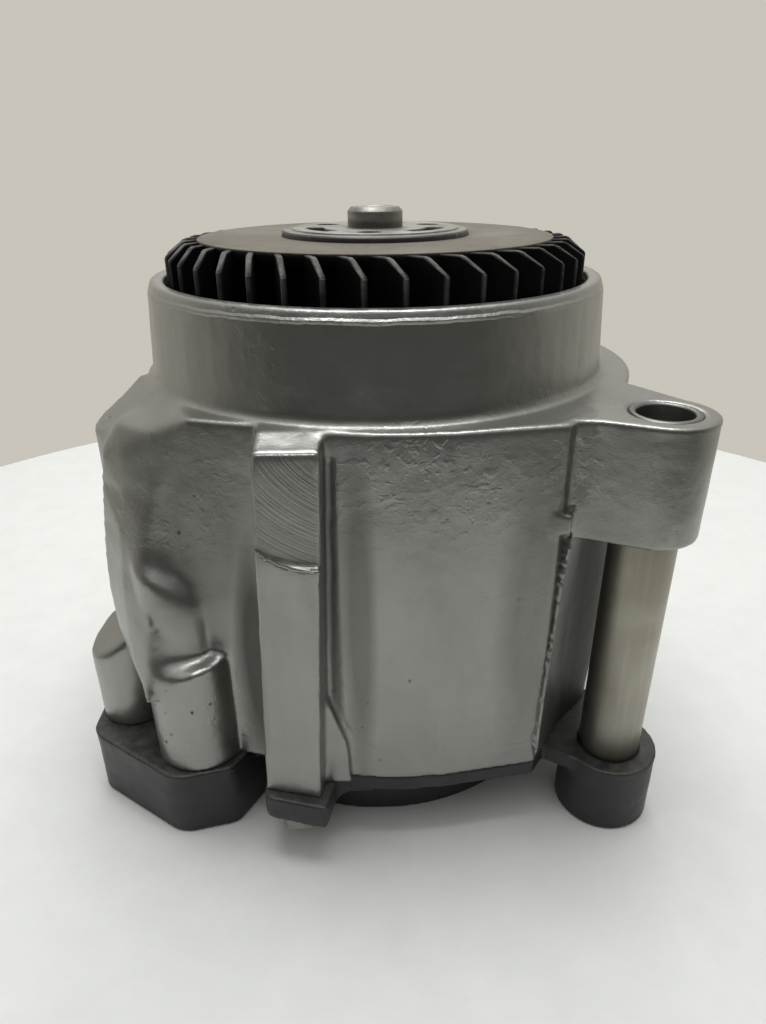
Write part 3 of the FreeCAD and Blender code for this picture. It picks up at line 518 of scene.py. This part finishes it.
def pilotSteel():
    look = {"steel": (0.3, 0.295, 0.275), "stain": (0.17, 0.16, 0.14), "foot": (0.06, 0.055, 0.047)}
    material, tree, shader, place = startMaterial("turnedShaftSteel", Metallic=0.75)
    parts = addNode(tree, "ShaderNodeSeparateXYZ")
    wire(tree, place, parts.inputs["Vector"])
    stretch = addNode(tree, "ShaderNodeMapping")
    stretch.inputs["Scale"].default_value = (0.03, 0.03, 1.0)
    wire(tree, place, stretch.inputs["Vector"])
    marks = addNode(tree, "ShaderNodeTexNoise", Scale=2600.0, Detail=4.0, Roughness=0.6)
    wire(tree, stretch.outputs["Vector"], marks.inputs["Vector"])
    stains = addNode(tree, "ShaderNodeTexNoise", Scale=170.0, Detail=8.0, Roughness=0.68)
    wire(tree, place, stains.inputs["Vector"])
    colour = mixColour(tree, remap(tree, stains.outputs["Fac"], 0.4, 0.66), look["steel"],
                       look["stain"])
    low = mathNode(tree, "ADD", parts.outputs["Z"],
                   remap(tree, stains.outputs["Fac"], 0.3, 0.7, -0.0006, 0.0006))
    colour = mixColour(tree, remap(tree, low, 0.0012, 0.0026, 0.8, 0.0), colour, look["foot"])
    wire(tree, colour, shader.inputs["Base Color"])
    wire(tree, remap(tree, stains.outputs["Fac"], 0.3, 0.7, 0.36, 0.52), shader.inputs["Roughness"])
    addBump(tree, shader, marks.outputs["Fac"], 0.35, 0.00006)
    return material


def turnedSteel(name, colour, shade, roughness, pitch):
    # Machined steel with fine turning marks round its own axis
    material, tree, shader, place = startMaterial(name, Metallic=0.9)
    stretch = addNode(tree, "ShaderNodeMapping")
    stretch.inputs["Scale"].default_value = (0.02, 0.02, 1.0)
    wire(tree, place, stretch.inputs["Vector"])
    marks = addNode(tree, "ShaderNodeTexNoise", Scale=1.0 / pitch, Detail=4.0, Roughness=0.6)
    wire(tree, stretch.outputs["Vector"], marks.inputs["Vector"])
    stains = addNode(tree, "ShaderNodeTexNoise", Scale=110.0, Detail=7.0, Roughness=0.65)
    wire(tree, place, stains.inputs["Vector"])
    wire(tree, mixColour(tree, remap(tree, stains.outputs["Fac"], 0.4, 0.68), colour, shade),
         shader.inputs["Base Color"])
    wire(tree, remap(tree, stains.outputs["Fac"], 0.3, 0.7, roughness, roughness + 0.16),
         shader.inputs["Roughness"])
    addBump(tree, shader, marks.outputs["Fac"], 0.35, 0.00005)
    return material


def plainFinish(name, colour, shade, roughness, scale, metal=0.0):
    # Quiet finish of the inner pieces: two tones, uneven gloss and a fine grain
    material, tree, shader, place = startMaterial(name, Metallic=metal)
    tone = addNode(tree, "ShaderNodeTexNoise", Scale=scale, Detail=7.0, Roughness=0.65)
    grain = addNode(tree, "ShaderNodeTexNoise", Scale=scale * 9.0, Detail=3.0)
    for node in (tone, grain):
        wire(tree, place, node.inputs["Vector"])
    wire(tree, mixColour(tree, remap(tree, tone.outputs["Fac"], 0.35, 0.65), colour, shade),
         shader.inputs["Base Color"])
    wire(tree, remap(tree, tone.outputs["Fac"], 0.3, 0.7, roughness, roughness + 0.15),
         shader.inputs["Roughness"])
    addBump(tree, shader, grain.outputs["Fac"], 0.3, 0.00008)
    return material


finishes = {
    "silver_paint": castPaint(),
    "black_iron": ironPaint(),
    "tube_steel": tubeSteel(),
    "black_plastic": fanPlastic(),
    "hub_paint": hubSteel(),
    "shaft_steel": pilotSteel(),
    "zinc_steel": turnedSteel("zincBoltSteel", (0.3, 0.295, 0.265), (0.2, 0.19, 0.16), 0.4, 0.0006),
    "bare_steel": turnedSteel("groundBearingSteel", (0.5, 0.5, 0.49), (0.4, 0.4, 0.39), 0.2,
                              0.0003),
    "rotor_aluminium": plainFinish("machinedAluminium", (0.62, 0.62, 0.61), (0.5, 0.5, 0.49), 0.35,
                                   120.0, 1.0),
    "carbon": plainFinish("pressedCarbon", (0.02, 0.02, 0.021), (0.045, 0.045, 0.046), 0.45, 200.0),
    "brass_cage": plainFinish("pressedBrass", (0.55, 0.4, 0.16), (0.42, 0.3, 0.12), 0.3, 150.0,
                              1.0),
    "vane_resin": plainFinish("phenolicVane", (0.1, 0.055, 0.028), (0.065, 0.036, 0.02), 0.5, 90.0),
}
print("materials ready:", len(finishes))

slotOf = {part["node"]: part["material_slot"] for part in frame["record"]["subparts"]}
for nodeName, node in frame["nodes"].items():
    node.data.materials.clear()
    node.data.materials.append(finishes[slotOf[nodeName]])


# Castings: the solid's own form with the rounded edges and the uneven skin of a casting

def loftSections(sections):
    # Closed body through sections that have the same number of points, in millimetres
    bm = bmesh.new()
    loops = []
    for section in sections:
        ring = [bm.verts.new(Vector(point) * mm) for point in section]
        loops.append([bm.edges.new((ring[k - 1], ring[k])) for k in range(len(ring))])
        if section is sections[0] or section is sections[-1]:
            bm.faces.new(ring)
    for near, far in zip(loops, loops[1:]):
        bmesh.ops.bridge_loops(bm, edges=near + far)
    bmesh.ops.recalc_face_normals(bm, faces=bm.faces)
    return bm


def buildNose():
    # Bulge on the left chamber whose front ridge runs down to a tongue between the two bolt lobes
    nose = {"ridge": [(-45.5, -58.2, -42), (-51.2, -56.4, -51), (-57.4, -55.2, -61),
                      (-61.4, -56.4, -73), (-62.0, -58.8, -84.5),
                      (-62.2, -61.4, -95), (-62.8, -64.2, -106), (-63.5, -66.2, -114),
                      (-64.0, -67.2, -118)],
            "flank": [(-68, -46, -42), (-74, -45, -51), (-75.6, -43, -61), (-77.6, -42, -73),
                      (-79.0, -42, -84.5),
                      (-79.6, -43.5, -95), (-76.5, -49, -106), (-69.5, -58, -114),
                      (-65.2, -65, -118)],
            "bulge": (-0.7, -0.9, 0), "back": (-67, -38), "inset": (6.5, 3.4)}
    sections = []
    for ridge, flank in zip(nose["ridge"], nose["flank"]):
        middle = [(ridge[k] + flank[k]) / 2 + nose["bulge"][k] for k in range(3)]
        back = (*nose["back"], ridge[2])
        inside = (ridge[0] + nose["inset"][0], ridge[1] + nose["inset"][1], ridge[2])
        sections.append([ridge, middle, flank, back, inside])
    return loftSections(sections)


housingLook = {"voxel": 0.62 * mm, "base": 2, "rounds": 5, "rolled": 10, "wave": 0.05 * mm,
               "waveSize": 13, "waveSink": 0.8, "edgeReach": 0.22, "triangles": 188000}
coverLook = {"voxel": 0.62 * mm, "base": 3, "rounds": 4, "wave": 0.09 * mm, "waveSize": 9,
             "waveSink": 0.8, "edgeReach": 0.22, "triangles": 150000}

# Places that flow into each other on the real casting: centre, reach and rounds of smoothing
housingSoft = [((-64, -50, -44), 20, 160), ((-54, -56, -84), 14, 320), ((-60, -62, -107), 10, 220),
               ((-50, -62, -109), 7, 30),
               ((-81, -46, -112), 12, 80), ((-79, -43, -98), 9, 60), ((-40, -60, -100), 12, 80),
               ((-57, -54, -72), 14, 240)]
coverSoft = [((-69, -65, -155), 14, 70), ((-88, -52, -155), 14, 70), ((-45, -66, -155), 12, 50)]

# Places moved a little: centre, reach and how far
housingMoved = [((66, -36, -105), (12, 16, 70), (2.6, -0.6, 0))]


def numbersOf(mesh, attribute):
    values = numpy.empty(3 * len(mesh.vertices), dtype=numpy.float32)
    mesh.vertices.foreach_get(attribute, values)
    return values.reshape(-1, 3).astype(float)


def addSmooth(piece, name, rounds, near=None):
    # A smoothing that is full where near is 1 and fades with it
    smooth = piece.modifiers.new(name, "SMOOTH")
    smooth.factor = 0.5
    smooth.iterations = rounds
    if near is not None:
        group = piece.vertex_groups.new(name=name)
        for level in range(1, 9):
            chosen = numpy.flatnonzero((near > (level - 1) / 8) & (near <= level / 8))
            group.add(chosen.tolist(), level / 8, "REPLACE")
        smooth.vertex_group = name


waves = {"seed": 7, "count": 14, "slowest": 0.6, "fastest": 2.6, "stretch": 1.6, "calm": 5}


def swayOf(points, size):
    # Slow uneven waves, about -1 to 1, that repeat only far outside the pump
    dice = numpy.random.default_rng(waves["seed"])
    total = numpy.zeros(len(points))
    for _ in range(waves["count"]):
        heading = dice.normal(size=3)
        heading *= dice.uniform(waves["slowest"], waves["fastest"]) / numpy.linalg.norm(heading)
        phase = dice.uniform(0, 6.28)
        total += numpy.sin(points @ heading * 2 * math.pi / size / waves["stretch"] + phase)
    return total / waves["calm"]


def castPiece(node, name, look, slot, isCrisp, isRolled, soft, moved, extras):
    bm = mergedCopy(node)
    for extra in extras:
        joinInto(bm, extra)
    piece = addPiece(name, bm, "pump_body", finishes[slot], [node])
    skin = piece.modifiers.new("skin", "REMESH")
    skin.mode = "VOXEL"
    skin.voxel_size = look["voxel"] * 1.0
    finishedMesh(piece)
    points = numbersOf(piece.data, "co") / mm
    for centre, reach, shift in moved:
        away = numpy.linalg.norm((points - centre) / reach, axis=1)
        points += (numpy.clip(1 - away ** 2, 0, 1) ** 2)[:, None] * numpy.array(shift)
    piece.data.vertices.foreach_set("co", (points * mm).astype(numpy.float32).ravel())
    piece.data.update()
    plain = 1.0 - isCrisp(*points.T)
    addSmooth(piece, "base", look["base"])
    addSmooth(piece, "plain", look["rounds"], plain)
    if isRolled:
        addSmooth(piece, "rolled", look["rolled"], isRolled(*points.T) * 1.0)
    effort = 1.0
    for k, (centre, reach, rounds) in enumerate(soft):
        away = numpy.linalg.norm(points - centre, axis=1) / reach
        near = numpy.clip(1.3 - 1.3 * away, 0, 1) * plain
        addSmooth(piece, "soft" + str(k), int(rounds * effort), near)
    finishedMesh(piece)
    piece.vertex_groups.clear()
    points = numbersOf(piece.data, "co") / mm
    sway = swayOf(points, look["waveSize"]) - look["waveSink"]
    rise = sway * look["wave"] / mm * (1.0 - isCrisp(*points.T))
    points += rise[:, None] * numbersOf(piece.data, "normal")
    piece.data.vertices.foreach_set("co", (points * mm).astype(numpy.float32).ravel())
    piece.data.update()
    storeEdges(piece, look["edgeReach"])
    count = 2 * len(piece.data.polygons)
    if count > look["triangles"]:
        thin = piece.modifiers.new("thin", "DECIMATE")
        thin.ratio = look["triangles"] / count
        finishedMesh(piece)
    piece.data.shade_smooth()
    print(name, count, "triangles before thinning,", len(piece.data.polygons), "faces after")


def storeEdges(piece, reach):
    # Stores how far each point stands out of its surroundings, in shares of the reach in millimetres
    addSmooth(piece, "around", 10)
    graph = bpy.context.evaluated_depsgraph_get()
    around = bpy.data.meshes.new_from_object(piece.evaluated_get(graph))
    shift = (numbersOf(piece.data, "co") - numbersOf(around, "co")) / mm
    values = (shift * numbersOf(piece.data, "normal")).sum(axis=1) / reach
    bpy.data.meshes.remove(around)
    piece.modifiers.clear()
    edge = piece.data.attributes.new("edge", "FLOAT", "POINT")
    edge.data.foreach_set("value", values.astype(numpy.float32))


def housingCrisp(x, y, z):
    rim = z > -15.6
    pad = (x > -30) & (x < -10) & (y < -73.5) & (z > -74)
    joint = z < -142.6
    earTop = (x > 52) & (z > -39.5)
    nub = (x > 42) & (x < 52) & (y < -60) & (z > -68) & (z < -56)
    return rim | pad | joint | earTop | nub


def housingRolled(x, y, z):
    # The rolled edge of the shoulder round the front
    return (z > -43) & (z < -36) & (x < 50) & (y < -20) & (numpy.hypot(x, y) > 66)


def coverCrisp(x, y, z):
    return (z > -144.2) | (z < -165)


castPiece("housing", "housing_casting", housingLook, "silver_paint", housingCrisp, housingRolled,
          housingSoft, housingMoved, [buildNose()])
castPiece("rear_cover", "cover_casting", coverLook, "black_iron", coverCrisp, None, coverSoft, [],
          [])


# Thin ridges that the mould and the milling left: each follows its points, wavy and pinched at both ends

ridges = {
    "parting_flash": {"points": [(49.0, -62.9, -68), (48.0, -62.9, -76), (47.3, -63.2, -84),
                                 (46.9, -63.5, -96),
                                 (46.1, -64.4, -107), (45.5, -65.3, -120), (45.1, -65.7, -134),
                                 (45.1, -65.7, -141)],
                      "out": (0.35, -0.94, 0), "width": 1.8, "rise": 1.1, "sink": 1.6},
    "pad_burr": {"points": [(-29.6, -75.3, -65.2), (-27, -75.7, -67.0), (-23.5, -76.1, -68.8),
                            (-20, -76.4, -69.9), (-17, -76.6, -70.4), (-14.6, -76.7, -70.5)],
                 "out": (0, -1, 0.35), "width": 0.8, "rise": 0.5, "sink": 0.9},
}


# What all ridges share: steps between two points, how many of them fade in, the waves, and the
# section as shares of the width and of the rise, between two feet
ridgeShape = {"steps": 14, "fade": 6, "slowWave": 0.9, "fastWave": 2.3, "fastShare": 0.6,
              "drift": 0.25,
              "feet": (-1.3, 1.2), "crest": ((-0.8, 0.35), (-0.15, 1.0), (0.55, 0.75))}


def buildRidge(name):
    ridge = ridges[name]
    out = Vector(ridge["out"]).normalized()
    points = [Vector(point) for point in ridge["points"]]
    steps = ridgeShape["steps"]
    path = []
    for start, end in zip(points, points[1:]):
        path += [start.lerp(end, k / steps) for k in range(steps)]
    path.append(points[-1])
    sections = []
    for k, point in enumerate(path):
        along = (path[min(k + 1, len(path) - 1)] - path[max(k - 1, 0)]).normalized()
        side = along.cross(out).normalized()
        share = min(1.0, k / ridgeShape["fade"], (len(path) - 1 - k) / ridgeShape["fade"])
        wave = noise.noise(point * ridgeShape["slowWave"])
        wave += ridgeShape["fastShare"] * noise.noise(point * ridgeShape["fastWave"])
        wide = ridge["width"] * (0.35 + 0.65 * share) * (1 + 0.35 * wave) / 2
        rise = ridge["rise"] * (0.1 + 0.9 * share) * (1 + 0.45 * wave)
        middle = point + side * wave * ridgeShape["drift"]
        left, right = ridgeShape["feet"]
        crest = [(across, rise * level) for across, level in ridgeShape["crest"]]
        places = [(left, -ridge["sink"])] + crest + [(right, -ridge["sink"])]
        sections.append([middle + side * across * wide + out * level for across, level in places])
    bm = loftSections(sections)
    shadeByAngle(bm, 50)
    addPiece(name, bm, "pump_body", finishes["silver_paint"])


for ridgeName in ridges:
    buildRidge(ridgeName)
print("castings ready")


# Pulley hub and shaft end

def buildHub():
    hub = {"edge": 0.25 * mm}
    bm = mergedCopy("pulley_hub")
    bmesh.ops.dissolve_limit(bm, angle_limit=math.radians(1.0), use_dissolve_boundaries=False,
                             verts=bm.verts, edges=bm.edges, delimit=set())
    softenEdges(bm, hub["edge"], 40)
    shadeByAngle(bm)
    addPiece("hub_plate", bm, "rotor", finishes["hub_paint"], ["pulley_hub"])


def buildShaft():
    low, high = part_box("drive_shaft")
    shaft = {"journal": high.x, "shoulder": -22 * mm, "seat": 8.2 * mm, "pilot": 7.94 * mm,
             "chamfer": 1.2 * mm,
             "recess": 5.4 * mm, "recessDepth": 0.4 * mm, "centre": 2.2 * mm,
             "centreDepth": 2.4 * mm, "edge": 0.16 * mm}
    top = high.z
    floor = top - shaft["recessDepth"]
    points = [(0, low.z), (shaft["journal"], low.z), (shaft["journal"], shaft["shoulder"]),
              (shaft["seat"], shaft["shoulder"]), (shaft["seat"], 0), (shaft["pilot"], 0),
              (shaft["pilot"], top - shaft["chamfer"]), (shaft["pilot"] - shaft["chamfer"], top),
              (shaft["recess"], top),
              (shaft["recess"] - shaft["recessDepth"], floor), (shaft["centre"], floor),
              (0, top - shaft["centreDepth"])]
    bm = turnProfile(points, 96)
    softenEdges(bm, shaft["edge"], 25)
    shadeByAngle(bm)
    addPiece("shaft_end", bm, "rotor", finishes["shaft_steel"], ["drive_shaft"])


buildHub()
buildShaft()
print("hub and shaft ready")


# Filter fan

fan = {"radius": 60 * mm, "discRadius": 50.8 * mm, "discTop": -2 * mm, "discBottom": -5 * mm,
       "blades": 40,
       "bladeThick": 1.5 * mm, "bladeLevel": 5 * mm, "bladeDrop": 3.6 * mm, "bladeRake": 40,
       "bottom": -32 * mm,
       "hoop": 46 * mm, "hoopThick": 3.4 * mm, "hubRadius": 27 * mm, "sleeve": 17 * mm,
       "bore": 14 * mm,
       "sleeveBottom": -20 * mm, "flare": 12 * mm, "flareDrop": 6 * mm, "discEdge": 0.3 * mm,
       "tipGap": 0.45 * mm, "tipCut": 1.2 * mm, "tipRise": 4 * mm, "shoulder": 0.5 * mm,
       "shoulderRise": 0.15 * mm,
       "lipDrop": 0.4 * mm, "bend": 0.6 * mm, "bendDrop": 0.35 * mm, "hoopSink": mm,
       "edge": 0.2 * mm}


def alongBlade(radius):
    # Place along a raked blade, from the disc's rim, where it reaches a radius
    rake = math.radians(fan["bladeRake"])
    across = fan["discRadius"] * math.sin(rake)
    return fan["discRadius"] + math.sqrt(radius ** 2 - across ** 2) - fan["discRadius"] * math.cos(rake)


def buildBlade():
    root = alongBlade(fan["hoop"] - fan["hoopThick"] / 2)
    tip = alongBlade(fan["radius"]) - fan["tipGap"]
    lip = fan["discTop"] - fan["lipDrop"]
    level = fan["discRadius"] + fan["bladeLevel"]
    outline = [(root, fan["bottom"]), (tip - fan["tipCut"], fan["bottom"]),
               (tip, fan["bottom"] + fan["tipRise"]),
               (tip, lip - fan["bladeDrop"] - fan["shoulder"]),
               (tip - fan["shoulder"], lip - fan["bladeDrop"] + fan["shoulderRise"]),
               (level + fan["bend"], lip - fan["bendDrop"]), (level - fan["bend"], lip),
               (root, lip)]
    blade = bmesh.new()
    verts = [blade.verts.new((r, -fan["bladeThick"] / 2, z)) for r, z in outline]
    grown = bmesh.ops.extrude_face_region(blade, geom=[blade.faces.new(verts)])["geom"]
    far = [part for part in grown if isinstance(part, bmesh.types.BMVert)]
    bmesh.ops.translate(blade, verts=far, vec=(0, fan["bladeThick"], 0))
    bmesh.ops.recalc_face_normals(blade, faces=blade.faces)
    softenEdges(blade, fan["edge"], 50, 1)
    bmesh.ops.rotate(blade, verts=blade.verts, cent=(fan["discRadius"], 0, 0),
                     matrix=Matrix.Rotation(math.radians(fan["bladeRake"]), 3, "Z"))
    return blade


def buildFan():
    under = fan["discBottom"]
    bm = turnProfile([(fan["bore"], under), (fan["hubRadius"], under),
                      (fan["hubRadius"], fan["discTop"]),
                      (fan["discRadius"], fan["discTop"]), (fan["discRadius"], under),
                      (fan["sleeve"] + fan["flare"], under),
                      (fan["sleeve"], under - fan["flareDrop"]),
                      (fan["sleeve"], fan["sleeveBottom"]),
                      (fan["bore"], fan["sleeveBottom"])], 160)
    softenEdges(bm, fan["discEdge"], 30)
    inner = fan["hoop"] - fan["hoopThick"]
    joinInto(bm, turnProfile([(fan["hoop"], fan["bottom"]), (fan["hoop"], under + fan["hoopSink"]),
                              (inner, under + fan["hoopSink"]), (inner, fan["bottom"])], 120))
    blade = buildBlade()
    for k in range(fan["blades"]):
        turned = blade.copy()
        bmesh.ops.rotate(turned, verts=turned.verts, cent=(0, 0, 0),
                         matrix=Matrix.Rotation(2 * math.pi * k / fan["blades"], 3, "Z"))
        joinInto(bm, turned)
    blade.free()
    shadeByAngle(bm)
    addPiece("fan_wheel", bm, "rotor", finishes["black_plastic"], ["filter_fan"])


buildFan()
print("fan ready:", fan["blades"], "blades")


# Mounting tube

def buildTube():
    low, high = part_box("mounting_tube")
    tube = {"x": (low.x + high.x) / 2, "y": (low.y + high.y) / 2, "outer": (high.x - low.x) / 2,
            "inner": 6.9 * mm, "lip": 0.5 * mm, "edge": 0.2 * mm}
    points = [(tube["inner"], low.z), (tube["outer"], low.z), (tube["outer"], high.z - tube["lip"]),
              (tube["outer"] - tube["lip"], high.z), (tube["inner"] + tube["lip"], high.z),
              (tube["inner"], high.z - tube["lip"])]
    bm = turnProfile(points, 96, tube["x"], tube["y"])
    softenEdges(bm, tube["edge"], 25)
    shadeByAngle(bm)
    addPiece("spacer_tube", bm, "pump_body", finishes["tube_steel"],
             ["mounting_tube"])


buildTube()
print("tube ready")


# Stage: a plain pale floor, soft lights and the photograph's camera

stageLook = {"floorRadius": 0.34, "floor": (0.77, 0.78, 0.76), "back": (0.58, 0.555, 0.49),
             "front": (0.075, 0.074, 0.067), "ceiling": (0.85, 0.86, 0.85), "gap": 0.0001}

lamps = {
    "ceiling": {"place": (0.0, 0.02, 0.62), "target": (0, 0.0, -0.1), "size": (0.5, 0.3),
                "power": 3.2},
    "backWindow": {"place": (0.0, 0.55, 0.5), "target": (0, 0, -0.08), "size": (0.5, 0.35),
                   "power": 1.2},
}


def buildFloor():
    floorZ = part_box("rear_cover")[0].z
    bm = bmesh.new()
    bmesh.ops.create_circle(bm, cap_ends=True, segments=128, radius=stageLook["floorRadius"])
    bmesh.ops.translate(bm, verts=bm.verts, vec=(0, 0, floorZ - stageLook["gap"]))
    mesh = bpy.data.meshes.new("floor")
    bm.to_mesh(mesh)
    bm.free()
    floor = bpy.data.objects.new("floor", mesh)
    bpy.context.scene.collection.objects.link(floor)
    material, tree, shader, place = startMaterial("paleFloor", Roughness=0.8)
    grain = addNode(tree, "ShaderNodeTexNoise", Scale=60.0, Detail=8.0, Roughness=0.7)
    wire(tree, place, grain.inputs["Vector"])
    pale = stageLook["floor"]
    wire(tree, mixColour(tree, remap(tree, grain.outputs["Fac"], 0.35, 0.65),
                         tuple(v * 0.95 for v in pale), pale),
         shader.inputs["Base Color"])
    mesh.materials.append(material)


def buildWorld():
    world = bpy.data.worlds.new("studio")
    bpy.context.scene.world = world
    world.use_nodes = True
    tree = world.node_tree
    place = addNode(tree, "ShaderNodeTexCoord")
    parts = addNode(tree, "ShaderNodeSeparateXYZ")
    wire(tree, place.outputs["Generated"], parts.inputs["Vector"])
    colour = mixColour(tree, remap(tree, parts.outputs["Y"], -0.6, 0.35), stageLook["front"],
                       stageLook["back"])
    colour = mixColour(tree, remap(tree, parts.outputs["Z"], 0.45, 0.9), colour,
                       stageLook["ceiling"])
    wire(tree, colour, tree.nodes["Background"].inputs["Color"])
    tree.nodes["Background"].inputs["Strength"].default_value = 1.0


def addLamp(name, place, target, size, power):
    lamp = bpy.data.lights.new(name, "AREA")
    lamp.shape = "RECTANGLE"
    lamp.size, lamp.size_y = size
    lamp.energy = power
    item = bpy.data.objects.new(name, lamp)
    item.location = place
    item.rotation_euler = (Vector(target) - Vector(place)).to_track_quat("-Z", "Y").to_euler()
    bpy.context.scene.collection.objects.link(item)


camera = {"place": (0.0, -0.2215, 0.01668), "focal": 710.0, "frame": (766, 1024), "pitch": 26.22,
          "yaw": 0.42, "roll": 0.45}


def buildCamera():
    pitch, yaw, roll = (math.radians(camera[key]) for key in ("pitch", "yaw", "roll"))
    ahead = Vector((math.sin(yaw) * math.cos(pitch), math.cos(yaw) * math.cos(pitch),
                    -math.sin(pitch)))
    right = Vector((math.cos(yaw), -math.sin(yaw), 0.0))
    down = ahead.cross(right)
    turnedRight = right * math.cos(roll) + down * math.sin(roll)
    turnedDown = down * math.cos(roll) - right * math.sin(roll)
    data = bpy.data.cameras.new("view")
    data.sensor_width = 36.0
    data.lens = camera["focal"] / camera["frame"][1] * data.sensor_width
    data.clip_start = 0.01
    item = bpy.data.objects.new("view", data)
    turn = Matrix((turnedRight, -turnedDown, -ahead)).transposed()
    item.matrix_world = Matrix.Translation(camera["place"]) @ turn.to_4x4()
    bpy.context.scene.collection.objects.link(item)
    bpy.context.scene.camera = item


buildFloor()
buildWorld()
for lampName, lampValues in lamps.items():
    addLamp(lampName, **lampValues)
buildCamera()
bpy.context.scene.view_settings.view_transform = "Standard"
print("stage ready")
